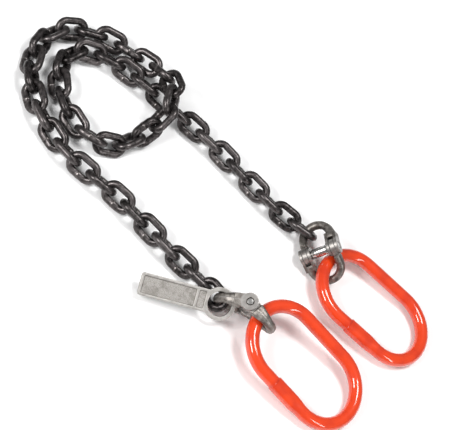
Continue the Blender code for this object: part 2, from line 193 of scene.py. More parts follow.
class Graph:
    """A node tree that is written from Python."""

    def __init__(self, tree: bpy.types.NodeTree) -> None:
        """Works on the tree given."""
        self.tree = tree

    def node(self, kind: str, settings: dict | None = None, inputs: dict | None = None) -> bpy.types.Node:
        """Adds a node.

        Args:
            kind: the node's type.
            settings: its own settings, set first.
            inputs: values or links for its sockets, by name or number.

        Returns:
            The node.
        """
        made = self.tree.nodes.new(kind)
        for name, setting in (settings or {}).items():
            setattr(made, name, setting)
        for key, given in (inputs or {}).items():
            self.feed(made.inputs[key], given)
        return made

    def feed(self, socket: bpy.types.NodeSocket, given: object) -> None:
        """Links a value, or another node's socket, to a socket, or sets the socket's number."""
        source = given.socket if isinstance(given, Value) else given
        if isinstance(source, bpy.types.NodeSocket):
            self.tree.links.new(source, socket)
        else:
            socket.default_value = source

    def out(self, node: bpy.types.Node, output: str | int = 0) -> Value:
        """One of a node's outputs as a value."""
        return Value(self, node.outputs[output])

    def mix(self, factor: Value, first: object, second: object) -> bpy.types.NodeSocket:
        """Two colours mixed.

        Args:
            factor: how much of the second.
            first: a colour or a colour socket.
            second: a colour or a colour socket.

        Returns:
            The mixed colour's socket.
        """
        settings = {"data_type": "RGBA", "blend_type": "MIX", "clamp_factor": True}
        pair = [(*c, 1.0) if isinstance(c, tuple) else c for c in (first, second)]
        return self.node("ShaderNodeMix", settings, {0: factor, 6: pair[0], 7: pair[1]}).outputs[2]


class Shader(Graph):
    """A material's tree with its Principled shader, on the piece's Object coordinates."""

    def __init__(self, name: str) -> None:
        """Makes the material, empty but for its shader and coordinates."""
        self.material = bpy.data.materials.new(name)
        self.material.use_nodes = True
        super().__init__(self.material.node_tree)
        self.surface = self.tree.nodes["Principled BSDF"]
        self.place = self.node("ShaderNodeTexCoord").outputs["Object"]

    def grain(self, size: float, detail: float, roughness: float = 0.5) -> Value:
        """Noise with features of about the size given.

        Args:
            size: the features' size in metres.
            detail: how many finer layers.
            roughness: how strong the finer layers are.

        Returns:
            The noise, about 0.5.
        """
        values = {"Vector": self.place, "Scale": 1 / size, "Detail": detail, "Roughness": roughness}
        return self.out(self.node("ShaderNodeTexNoise", None, values), 0)

    def pits(self, size: float) -> Value:
        """Distance from scattered points, 0 at a point, with the points about size apart."""
        values = {"Vector": self.place, "Scale": 1 / size, "Randomness": 1.0}
        return self.out(self.node("ShaderNodeTexVoronoi", None, values), "Distance")

    def mark(self, name: str) -> Value:
        """A number that the piece's own mesh stores under a name."""
        node = self.node("ShaderNodeAttribute", {"attribute_type": "GEOMETRY", "attribute_name": name})
        return self.out(node, "Fac")

    def relief(self, height: Value, depth: float) -> None:
        """Bumps the surface by height, which runs 0 to 1, times depth in metres."""
        values = {"Height": height, "Strength": 1.0, "Distance": depth}
        self.feed(self.surface.inputs["Normal"], self.node("ShaderNodeBump", None, values).outputs[0])

    def dress(self, inputs: dict) -> bpy.types.Material:
        """Sets the shader's sockets by name and gives the material."""
        for name, given in inputs.items():
            self.feed(self.surface.inputs[name], (*given, 1.0) if isinstance(given, tuple) else given)
        return self.material


# ---------------------------------------------------------------- finishes


@dataclass(frozen=True)
class BlackenedSteel:
    """Chain wire with its dark scale, rubbed where links bear on each other, and a weld on one side."""

    dark: Colour = (0.014, 0.012, 0.012)
    light: Colour = (0.105, 0.094, 0.093)
    rubbed: Colour = (0.34, 0.31, 0.295)
    seam_and_step_shade: Colour = (0.012, 0.010, 0.010)
    blotch: float = 3.2 * MM
    scale_grain: float = 0.55 * MM
    fleck: float = 1.6 * MM
    relief: float = 0.16 * MM

    def material(self) -> bpy.types.Material:
        """Builds the chain's material."""
        shader = Shader("blackened_steel")
        blotch = shader.grain(self.blotch, 4.0, 0.6)
        fine = shader.grain(self.scale_grain, 4.0, 0.6)
        tone = shader.mark("tone")
        weld = shader.mark("weld")
        seam_and_step_shade = shader.mark("seam_and_step_shade")
        worn = shader.mark("worn") * fine.rise(0.30, 0.62)
        mixed = (blotch * 0.7 + fine * 0.3 + tone * 0.16).rise(0.36, 0.72)
        colour = shader.mix(mixed, self.dark, self.light)
        flecks = shader.pits(self.fleck).rise(0.16, 0.06) * blotch.rise(0.48, 0.60)
        colour = shader.mix(flecks * 0.55, colour, self.rubbed)
        colour = shader.mix(worn * 0.75, colour, self.rubbed)
        colour = shader.mix(weld * 0.5, colour, self.rubbed)
        colour = shader.mix(seam_and_step_shade * 0.8, colour, self.seam_and_step_shade)
        shader.relief(blotch * 0.55 + fine * 0.45, self.relief)
        rough = 0.17 + 0.24 * fine + 0.08 * blotch - 0.06 * worn
        return shader.dress({"Base Color": colour, "Roughness": rough, "Metallic": 0.86})


@dataclass(frozen=True)
class ForgedSteel:
    """Coupling halves: bare forged steel, pitted, smoother on the ground faces round the pin."""

    dark: Colour = (0.10, 0.088, 0.080)
    light: Colour = (0.34, 0.315, 0.29)
    ground: Colour = (0.44, 0.425, 0.41)
    blotch: float = 4.5 * MM
    fine: float = 0.5 * MM
    pit: float = 1.1 * MM
    relief: float = 0.15 * MM

    def material(self) -> bpy.types.Material:
        """Builds the coupling halves' material."""
        shader = Shader("forged_steel")
        blotch = shader.grain(self.blotch, 4.0, 0.62)
        fine = shader.grain(self.fine, 3.0, 0.6)
        pit = shader.pits(self.pit).rise(0.30, 0.08) * blotch.rise(0.45, 0.62)
        ground = shader.mark("ground")
        edge = shader.mark("edge")
        colour = shader.mix((blotch * 0.65 + fine * 0.35).rise(0.32, 0.70), self.dark, self.light)
        colour = shader.mix(pit * 0.6, colour, self.dark)
        colour = shader.mix(ground * 0.55, colour, self.ground)
        colour = shader.mix(edge * 0.6, colour, self.ground)
        shader.relief((blotch * 0.5 + fine * 0.35 - pit * 0.5) * (1 - ground * 0.5), self.relief)
        rough = 0.34 + 0.24 * fine + 0.10 * pit - 0.08 * ground
        return shader.dress({"Base Color": colour, "Roughness": rough, "Metallic": 0.95})


@dataclass(frozen=True)
class BrightSteel:
    """Pins and sleeves: turned and bright, with faint rings round the axis."""

    colour: Colour = (0.60, 0.59, 0.575)
    stain: Colour = (0.36, 0.34, 0.32)
    ring_rate: float = 2400.0
    haze: float = 2.4 * MM
    relief: float = 0.005 * MM

    def material(self) -> bpy.types.Material:
        """Builds the turned pieces' material."""
        shader = Shader("bright_steel")
        unrolled = shader.node("ShaderNodeUVMap", {"uv_map": "turned"}).outputs[0]
        along = shader.out(shader.node("ShaderNodeSeparateXYZ", None, {0: unrolled}), 1)
        rings = (along * self.ring_rate).math("SINE") * 0.5 + 0.5
        haze = shader.grain(self.haze, 3.0, 0.6)
        colour = shader.mix(haze.rise(0.50, 0.75) * 0.6, self.colour, self.stain)
        shader.relief(rings * 0.3 + haze * 0.7, self.relief)
        rough = 0.14 + 0.16 * haze + 0.04 * rings
        return shader.dress({"Base Color": colour, "Roughness": rough, "Metallic": 1.0})


@dataclass(frozen=True)
class CastSteel:
    """The tag: pale cast steel, grainy and duller in its sunk panels, smoother on its rim."""

    rim: Colour = (0.50, 0.48, 0.455)
    sunk: Colour = (0.22, 0.205, 0.188)
    # dark colour of the grime in the sunk panels, and of the painted shade on the panels' walls
    grime: Colour = (0.13, 0.118, 0.102)
    grit: float = 0.42 * MM
    blotch: float = 5.0 * MM
    relief: float = 0.26 * MM

    def material(self) -> bpy.types.Material:
        """Builds the tag's material."""
        shader = Shader("cast_steel")
        sunk = shader.mark("sunk")
        grit = shader.grain(self.grit, 4.0, 0.7)
        blotch = shader.grain(self.blotch, 3.0, 0.6)
        colour = shader.mix(blotch.rise(0.35, 0.75) * 0.5, self.rim, self.sunk)
        colour = shader.mix(sunk, colour, shader.mix(grit.rise(0.36, 0.62), self.sunk, self.rim))
        colour = shader.mix(sunk * blotch.rise(0.45, 0.70) * 0.45, colour, self.grime)
        # painted shade: the panels' walls darkened towards the dark colour, standing in for the shade in the
        # grooves
        colour = shader.mix(shader.mark("groove") * 0.8, colour, self.grime)
        shader.relief(grit * (0.30 + 0.70 * sunk), self.relief)
        rough = 0.36 + 0.22 * grit + 0.12 * sunk
        return shader.dress({"Base Color": colour, "Roughness": rough, "Metallic": 0.85})


@dataclass(frozen=True)
class OrangePaint:
    """Master links: thick gloss orange-red paint with a slight orange peel and small nibs."""

    colour: Colour = (0.68, 0.047, 0.007)
    deep: Colour = (0.50, 0.024, 0.005)
    nib: Colour = (0.22, 0.02, 0.008)
    cloud: float = 14.0 * MM
    peel: float = 1.3 * MM
    nib_spacing: float = 9.0 * MM
    relief: float = 0.035 * MM
    coat_roughness: float = 0.05
    coat_ior: float = 1.55
    under_coat: float = 0.12

    def material(self) -> bpy.types.Material:
        """Builds the master links' material."""
        shader = Shader("orange_paint")
        cloud = shader.grain(self.cloud, 2.0)
        peel = shader.grain(self.peel, 2.0)
        nib = shader.pits(self.nib_spacing).rise(0.035, 0.02)
        colour = shader.mix(cloud.rise(0.40, 0.72) * 0.6, self.colour, self.deep)
        # painted shade: a darker band on the wall of the flat's sharp step, from the mark that the ring tree
        # stores as the seam on rings without a weld
        colour = shader.mix(shader.mark("seam_and_step_shade") * 0.5, colour, self.deep)
        colour = shader.mix(nib * 0.7, colour, self.nib)
        shader.relief(peel * 0.6 + cloud * 0.3 + nib * 0.6, self.relief)
        shader.dress({"Coat Roughness": self.coat_roughness, "Coat IOR": self.coat_ior,
                      "Specular IOR Level": self.under_coat})
        return shader.dress({"Base Color": colour, "Roughness": 0.34 + 0.1 * peel, "Coat Weight": 1.0})


@dataclass(frozen=True)
class FloorPaper:
    """The studio's pale paper floor."""

    colour: Colour = (0.97, 0.97, 0.97)
    shade: Colour = (0.93, 0.93, 0.93)
    tooth: float = 6.0 * MM

    def material(self) -> bpy.types.Material:
        """Builds the floor's material."""
        shader = Shader("floor_paper")
        tooth = shader.grain(self.tooth, 2.0)
        colour = shader.mix(tooth * 0.06, self.colour, self.shade)
        return shader.dress({"Base Color": colour, "Roughness": 0.9})


# ---------------------------------------------------------------- mesh tools


def mesh_points(mesh: bpy.types.Mesh, what: str = "co") -> np.ndarray:
    """A mesh's vertex positions, or another three-number vertex value, as an array."""
    flat = np.empty(len(mesh.vertices) * 3)
    mesh.vertices.foreach_get(what, flat)
    return flat.reshape(-1, 3)


def store_mark(mesh: bpy.types.Mesh, name: str, values: np.ndarray) -> None:
    """Stores one number for each vertex under a name that materials read."""
    layer = mesh.attributes.get(name) or mesh.attributes.new(name, "FLOAT", "POINT")
    layer.data.foreach_set("value", np.clip(values, 0, 1).astype(np.float32))


def steps(values: np.ndarray, low: float, high: float) -> np.ndarray:
    """A smooth step of an array, 0 at low and 1 at high."""
    t = np.clip((values - low) / (high - low), 0, 1)
    return t * t * (3 - 2 * t)


def sealed(mesh: bpy.types.Mesh, sharp_degrees: float = 40.0) -> bpy.types.Mesh:
    """Merges a mesh's doubles, turns its faces outwards and shades it smooth but for its sharp edges.

    Args:
        mesh: the mesh, changed in place.
        sharp_degrees: the least angle of an edge that stays sharp.

    Returns:
        The same mesh.
    """
    bm = bmesh.new()
    bm.from_mesh(mesh)
    bmesh.ops.remove_doubles(bm, verts=bm.verts, dist=1e-3 * MM)
    bmesh.ops.recalc_face_normals(bm, faces=bm.faces)
    bm.to_mesh(mesh)
    bm.free()
    mesh.shade_smooth()
    mesh.set_sharp_from_angle(angle=math.radians(sharp_degrees))
    return mesh


def mesh_of(name: str, bm: bmesh.types.BMesh) -> bpy.types.Mesh:
    """A bmesh as a mesh whose faces point outwards."""
    mesh = bpy.data.meshes.new(name)
    bmesh.ops.recalc_face_normals(bm, faces=bm.faces)
    bm.to_mesh(mesh)
    bm.free()
    return mesh


def evaluated(mesh: bpy.types.Mesh, modifiers: list[tuple[str, dict]]) -> bpy.types.Mesh:
    """A mesh with modifiers applied.

    Args:
        mesh: what they work on.
        modifiers: each modifier's type and settings, in order.

    Returns:
        A new mesh.
    """
    holder = bpy.data.objects.new("holder", mesh)
    bpy.context.scene.collection.objects.link(holder)
    for kind, settings in modifiers:
        modifier = holder.modifiers.new(kind.lower(), kind)
        for name, setting in settings.items():
            setattr(modifier, name, setting)
    bpy.context.view_layer.update()
    made = bpy.data.meshes.new_from_object(holder.evaluated_get(bpy.context.evaluated_depsgraph_get()))
    bpy.data.objects.remove(holder)
    return made


def cut(mesh: bpy.types.Mesh, tools: list[bpy.types.Mesh]) -> bpy.types.Mesh:
    """A mesh with the tools' shapes taken out of it, one after the other."""
    for tool in tools:
        cutter = bpy.data.objects.new("cutter", tool)
        bpy.context.scene.collection.objects.link(cutter)
        settings = {"operation": "DIFFERENCE", "solver": "EXACT", "object": cutter}
        mesh = evaluated(mesh, [("BOOLEAN", settings)])
        bpy.data.objects.remove(cutter)
    return mesh


def joined(meshes: list[bpy.types.Mesh]) -> bpy.types.Mesh:
    """Several meshes as one, overlapping as they are."""
    bm = bmesh.new()
    for mesh in meshes:
        bm.from_mesh(mesh)
    made = bpy.data.meshes.new("joined")
    bm.to_mesh(made)
    bm.free()
    return made


def slab(outline: list[tuple[float, float]], low: float, high: float, draft: float = 0.0) -> bpy.types.Mesh:
    """A flat outline in XY drawn up from low to high, opening outwards by draft from its middle.

    Args:
        outline: the points in order.
        low: the lower face's height.
        high: the upper face's height.
        draft: how much further out the upper face's edge lies, in metres.

    Returns:
        The closed mesh.
    """
    bm = bmesh.new()
    centre = Vector((sum(x for x, _ in outline), sum(y for _, y in outline))) / len(outline)
    rings: list[list[bmesh.types.BMVert]] = []
    for height, spread in ((low, 0.0), (high, draft)):
        ring = []
        for x, y in outline:
            away = Vector((x, y)) - centre
            shift = Vector((math.copysign(spread, away.x), math.copysign(spread, away.y)))
            ring.append(bm.verts.new((x + shift.x, y + shift.y, height)))
        rings.append(ring)
    for number, vert in enumerate(rings[0]):
        following = (number + 1) % len(outline)
        bm.faces.new((vert, rings[0][following], rings[1][following], rings[1][number]))
    bm.faces.new(rings[0])
    bm.faces.new(rings[1])
    return mesh_of("slab", bm)


def arc(cx: float, cy: float, radius: float, start: float, end: float,
        count: int) -> list[tuple[float, float]]:
    """Points along an arc.

    Args:
        cx: the centre's first coordinate.
        cy: the centre's second coordinate.
        radius: its radius.
        start: its first angle in degrees.
        end: its last angle in degrees.
        count: how many steps it has.

    Returns:
        The points, both ends included.
    """
    angles = [math.radians(start + (end - start) * step / count) for step in range(count + 1)]
    return [(cx + radius * math.cos(a), cy + radius * math.sin(a)) for a in angles]


def rounded_box(x0: float, x1: float, half_width: float, corner: float) -> list[tuple[float, float]]:
    """The outline of a rounded rectangle from x0 to x1, centred across Y."""
    points: list[tuple[float, float]] = []
    spots = ((x1 - corner, half_width - corner, 0), (x0 + corner, half_width - corner, 90),
             (x0 + corner, corner - half_width, 180), (x1 - corner, corner - half_width, 270))
    for cx, cy, start in spots:
        points += arc(cx, cy, corner, start, start + 90, 6)
    return points


def turned(name: str, profile: list[tuple[float, float]], segments: int, closed: bool) -> bpy.types.Mesh:
    """A shape turned round the Y axis, with a UV map whose second number runs along the axis.

    Args:
        name: the mesh's name.
        profile: (place along Y, radius) pairs; radius 0 closes an end.
        segments: how many sides the round has.
        closed: True joins the profile's end to its start, as on a tube.

    Returns:
        The closed mesh.
    """
    bm = bmesh.new()
    uv = bm.loops.layers.uv.new("turned")
    rings: list[list[bmesh.types.BMVert]] = []
    for y, radius in profile:
        if radius == 0:
            rings.append([bm.verts.new((0, y, 0))] * segments)
            continue
        angles = [2 * math.pi * side / segments for side in range(segments)]
        rings.append([bm.verts.new((radius * math.cos(a), y, radius * math.sin(a))) for a in angles])
    pairs = list(zip(rings, rings[1:])) + ([(rings[-1], rings[0])] if closed else [])
    for first, second in pairs:
        for side in range(segments):
            following = (side + 1) % segments
            corners = [first[side], first[following], second[following], second[side]]
            face = bm.faces.new(list(dict.fromkeys(corners)))
            for loop in face.loops:
                loop[uv].uv = (side / segments, loop.vert.co.y)
    return sealed(mesh_of(name, bm), 30.0)


# ---------------------------------------------------------------- places


@dataclass(frozen=True)
class Placement:
    """Where a piece lies: its origin and the directions of its own X, Y and Z axes."""

    origin: Vector
    x: Vector
    y: Vector
    z: Vector

    @property
    def matrix(self) -> Matrix:
        """The turn and shift from the piece's own axes to the object's."""
        return Matrix.Translation(self.origin) @ Matrix((self.x, self.y, self.z)).transposed().to_4x4()

    @classmethod
    def from_axes(cls, origin: Vector, towards: Vector, square_to: Vector) -> "Placement":
        """A place whose Y is square_to and whose X points towards a place as nearly as it can."""
        y = square_to.normalized()
        x = (towards - y * towards.dot(y)).normalized()
        return cls(origin, x, y, x.cross(y))

    @classmethod
    def from_ring(cls, node: str, inside_width: float, wire: float) -> "Placement":
        """An oblong ring's place, read off its solid: X along it, Y across it, its plainer side at +Y.

        Args:
            node: the solid's name.
            inside_width: the ring's width inside.
            wire: its wire's diameter.

        Returns:
            The ring's place.
        """
        points = np.unique(np.round(mesh_points(frame["nodes"][node].data), 7), axis=0)
        middle = points.mean(0)
        turn = np.linalg.eigh(np.cov((points - middle).T))[1][:, ::-1].T
        x, y = (axis * (1 if axis[np.argmax(np.abs(axis))] > 0 else -1) for axis in turn[:2])
        local = (points - middle) @ np.array([x, y, np.cross(x, y)]).T
        least_bulge = 1e-5
        if local[:, 1].max() + local[:, 1].min() < -least_bulge:
            y, x = -y, -x
            local[:, :2] *= -1
        centre = (local.max(0) + local.min(0)) / 2
        centre[1] = local[:, 1].max() - inside_width / 2 - wire
        z = np.cross(x, y)
        origin = middle + x * centre[0] + y * centre[1] + z * centre[2]
        return cls(*(Vector(v) for v in (origin, x, y, z)))


def joint(name: str) -> dict:
    """The record's joint of that name."""
    return next(j for j in frame["joints"] if j["name"] == name)


def piece(name: str, mesh: bpy.types.Mesh, place: Placement, node: str, body: str,
          material: bpy.types.Material) -> bpy.types.Object:
    """Shows a mesh in place of a solid.

    Args:
        name: the new object's name.
        mesh: its shape round its own origin; a copy of it is used.
        place: where it goes.
        node: the solid that it stands for.
        body: the body that it moves with.
        material: its finish.

    Returns:
        The object.
    """
    shown = mesh.copy()
    shown.name = name
    shown.transform(place.matrix)
    shown.materials.clear()
    shown.materials.append(material)
    made = bpy.data.objects.new(name, shown)
    bpy.context.scene.collection.objects.link(made)
    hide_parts(node)
    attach(made, body)
    LOG.info("%s: %d faces, rides on %s", name, len(shown.polygons), body)
    return made


# ---------------------------------------------------------------- oblong rings


@dataclass(frozen=True)
class RingSizes:
    """What the ring tree asks for: an oblong's sizes, its flat, its weld and how uneven its wire is."""

    inside_length: float
    inside_width: float
    wire: float
    stations: int
    sides: int
    flat_width: float
    flat_thickness: float
    flat_half_length: float
    flat_step: float
    flat_fade: float
    weld_height: float
    weld_reach: float
    uneven: float
    uneven_size: float


class RingTree:
    """Geometry nodes for an oblong ring of round wire, pressed flat and welded on its -Y side."""

    floats = ("inside_length", "inside_width", "wire", "flat_width", "flat_thickness", "flat_half_length",
              "flat_step", "flat_fade", "weld_height", "weld_reach", "uneven", "uneven_size", "tone", "seed")
    whole = ("stations", "sides")
    fillet_points = 48
    fillet_share = 0.9999
    squareness = 3.0
    upset_reach = 4.5
    seam_reach = 0.3

    def __init__(self) -> None:
        """Builds the tree once."""
        self.tree = bpy.data.node_groups.new("oblong_ring", "GeometryNodeTree")
        face = self.tree.interface
        face.new_socket("Geometry", in_out="OUTPUT", socket_type="NodeSocketGeometry")
        for name in self.floats:
            face.new_socket(name, in_out="INPUT", socket_type="NodeSocketFloat")
        for name in self.whole:
            face.new_socket(name, in_out="INPUT", socket_type="NodeSocketInt")
        face.new_socket("finish", in_out="INPUT", socket_type="NodeSocketMaterial")
        graph = Graph(self.tree)
        given = self.tree.nodes.new("NodeGroupInput")
        size = {name: graph.out(given, name) for name in self.floats}

        radius = (size["inside_width"] + size["wire"]) / 2
        reach = (size["inside_length"] + size["wire"]) / 2 - radius
        frame_line = graph.node("GeometryNodeCurvePrimitiveQuadrilateral", {"mode": "RECTANGLE"},
                                {"Width": (reach + radius) * 2, "Height": radius * 2})
        rounded = graph.node("GeometryNodeFilletCurve", {"mode": "POLY"},
                             {"Curve": frame_line.outputs[0], "Count": self.fillet_points,
                              "Radius": radius * self.fillet_share})
        line = graph.node("GeometryNodeResampleCurve", {"mode": "COUNT"},
                          {"Curve": rounded.outputs[0], "Count": given.outputs["stations"]})
        wire = graph.node("GeometryNodeCurvePrimitiveCircle", None,
                          {"Resolution": given.outputs["sides"], "Radius": size["wire"] / 2})
        tube = graph.node("GeometryNodeCurveToMesh", None,
                          {"Curve": line.outputs[0], "Profile Curve": wire.outputs["Curve"]}).outputs[0]

        place = graph.node("GeometryNodeInputPosition").outputs[0]
        split = graph.node("ShaderNodeSeparateXYZ", None, {0: place})
        x, y, z = (graph.out(split, axis) for axis in range(3))
        on_side = y < 0.0
        straight = (abs(x) < reach + size["wire"]) * on_side

        off_line = y + radius
        step = size["flat_step"] + (x > 0.0) * (size["flat_fade"] - size["flat_step"])
        pressed = (1 - ((abs(x) - size["flat_half_length"]) / step).rise(0.0, 1.0)) * straight
        power, least = self.squareness, 1e-15
        spread = (abs(off_line) ** power + abs(z) ** power + least) ** (1 / power)
        square = (off_line * off_line + z * z) ** 0.5 / spread
        wider = square * size["flat_width"] / size["wire"]
        thinner = square * size["flat_thickness"] / size["wire"]
        new_y = y + pressed * (off_line * wider - off_line)
        new_z = z + pressed * (z * thinner - z)
        flat = graph.node("ShaderNodeCombineXYZ", None, {0: x, 1: new_y, 2: new_z}).outputs[0]
        tube = graph.node("GeometryNodeSetPosition", None, {"Geometry": tube, "Position": flat}).outputs[0]

        bead = (x / size["weld_reach"]).bell() * straight
        upset = (x / (size["weld_reach"] * self.upset_reach)).bell() * straight
        where = graph.node("ShaderNodeCombineXYZ", None, {0: size["seed"], 1: size["seed"] * 0.37, 2: 0.0})
        moved = graph.node("ShaderNodeVectorMath", {"operation": "ADD"}, {0: place, 1: where.outputs[0]})
        lumps = graph.out(graph.node("ShaderNodeTexNoise", None, {
            "Vector": moved.outputs[0], "Scale": 1 / size["uneven_size"], "Detail": 2.0}), 0)
        lift = size["weld_height"] * (bead * 0.65 + upset * 0.35) + (lumps - 0.5) * size["uneven"]
        normal = graph.node("GeometryNodeInputNormal").outputs[0]
        outwards = graph.node("ShaderNodeVectorMath", {"operation": "SCALE"}, {0: normal, "Scale": lift})
        tube = graph.node("GeometryNodeSetPosition", None,
                          {"Geometry": tube, "Offset": outwards.outputs[0]}).outputs[0]

        past = abs(x) - reach
        round_off = (past * past + y * y) ** 0.5
        inner = ((radius - round_off) / size["wire"] * 2).rise(0.35, 1.0)
        worn = inner * (past / radius).rise(0.25, 0.8)
        seam_and_step_shade = (x / (size["weld_reach"] * self.seam_reach)).bell() * straight
        # on rings without a weld the seam mark stores this band instead: painted shade on the wall of the
        # flat's sharp step
        past_step = abs(x) - size["flat_half_length"] - size["flat_step"] * 0.6
        edge = (past_step / size["flat_step"]).bell() * straight * (x < 0.0)
        has_weld = size["weld_height"] > 0.0
        marks = {"worn": worn, "weld": bead * has_weld, "tone": size["tone"],
                 "seam_and_step_shade": seam_and_step_shade * has_weld + edge * (1 - has_weld)}
        for name, value in marks.items():
            tube = graph.node("GeometryNodeStoreNamedAttribute", {"data_type": "FLOAT", "domain": "POINT"},
                              {"Geometry": tube, "Name": name, "Value": value}).outputs[0]
        whole = graph.node("GeometryNodeRealizeInstances", None, {0: tube}).outputs[0]
        smooth = graph.node("GeometryNodeSetShadeSmooth", None, {0: whole}).outputs[0]
        finished = graph.node("GeometryNodeSetMaterial", None,
                              {"Geometry": smooth, "Material": given.outputs["finish"]}).outputs[0]
        graph.node("NodeGroupOutput", None, {0: finished})
        self.keys = {item.name: item.identifier for item in face.items_tree if item.in_out == "INPUT"}

    def mesh(self, sizes: RingSizes, tone: float, seed: float, finish: bpy.types.Material) -> bpy.types.Mesh:
        """Runs the tree.

        Args:
            sizes: the ring's sizes.
            tone: how light this ring is among its like, 0 to 1.
            seed: where its unevenness is read.
            finish: its material.

        Returns:
            The ring as a plain mesh round the origin.
        """
        holder = bpy.data.objects.new("ring", bpy.data.meshes.new("ring"))
        modifier = holder.modifiers.new("ring", "NODES")
        modifier.node_group = self.tree
        values = {**sizes.__dict__, "tone": tone, "seed": seed, "finish": finish}
        for name, value in values.items():
            modifier[self.keys[name]] = value
        bpy.context.scene.collection.objects.link(holder)
        bpy.context.view_layer.update()
        made = bpy.data.meshes.new_from_object(holder.evaluated_get(bpy.context.evaluated_depsgraph_get()))
        bpy.data.objects.remove(holder)
        return sealed(made, 60.0)


@dataclass
class Chain:
    """The chain: short links, round on one side, fuller than round and welded on the other."""

    rings: RingTree
    pitch: float = 21.0 * MM
    inside_width: float = 9.4 * MM
    wire: float = 7.0 * MM
    sides: int = 20
    stations: int = 176
    weld_height: float = 0.42 * MM
    weld_reach: float = 0.55 * MM
    squared_reach: float = 1.0
    uneven: float = 0.16 * MM
    uneven_size: float = 5.0 * MM
    tone_stride: float = 0.618
    seed_stride: float = 0.071
    prefix: str = "chain_link_"

    def build(self, finish: BlackenedSteel) -> None:
        """Builds and dresses every link."""
        material = finish.material()
        wire = self.wire
        sizes = RingSizes(
            inside_length=self.pitch, inside_width=self.inside_width, wire=wire, stations=self.stations,
            sides=self.sides, flat_width=wire, flat_thickness=wire, flat_half_length=0.0,
            flat_step=self.squared_reach, flat_fade=self.squared_reach, weld_height=self.weld_height,
            weld_reach=self.weld_reach, uneven=self.uneven, uneven_size=self.uneven_size)
        for number, node in enumerate(sorted(n for n in frame["nodes"] if n.startswith(self.prefix))):
            place = Placement.from_ring(node, self.inside_width, wire)
            tone = (number * self.tone_stride) % 1.0
            mesh = self.rings.mesh(sizes, tone, number * self.seed_stride, material)
            piece(node.replace("chain_link", "link"), mesh, place, node, node, material)


@dataclass
class MasterLinks:
    """The two oblong master links, each with one side pressed flat at its middle."""

    rings: RingTree
    inside_length: float = 110.0 * MM
    inside_width: float = 60.0 * MM
    wire: float = 13.0 * MM
    sides: int = 40
    stations: int = 560
    flat_width: float = 14.5 * MM
    flat_thickness: float = 11.2 * MM
    flat_half_length: float = 12.0 * MM
    flat_step: float = 1.4 * MM
    flat_fade: float = 11.0 * MM
    uneven: float = 0.12 * MM
    uneven_size: float = 18.0 * MM

    def build(self, finish: OrangePaint) -> None:
        """Builds and dresses both master links."""
        material = finish.material()
        sizes = RingSizes(
            inside_length=self.inside_length, inside_width=self.inside_width, wire=self.wire,
            stations=self.stations, sides=self.sides, flat_width=self.flat_width,
            flat_thickness=self.flat_thickness, flat_half_length=self.flat_half_length,
            flat_step=self.flat_step, flat_fade=self.flat_fade, weld_height=0.0, weld_reach=1.0 * MM,
            uneven=self.uneven, uneven_size=self.uneven_size)
        tone = 0.5
        for end, seed in ((End.NEAR, 0.4), (End.FAR, 0.9)):
            node = f"{end.value}_master_link"
            place = Placement.from_ring(node, self.inside_width, self.wire)
            mesh = self.rings.mesh(sizes, tone, seed, material)
            piece(f"{end.value}_oblong_link", mesh, place, node, node, material)


# ---------------------------------------------------------------- coupling links


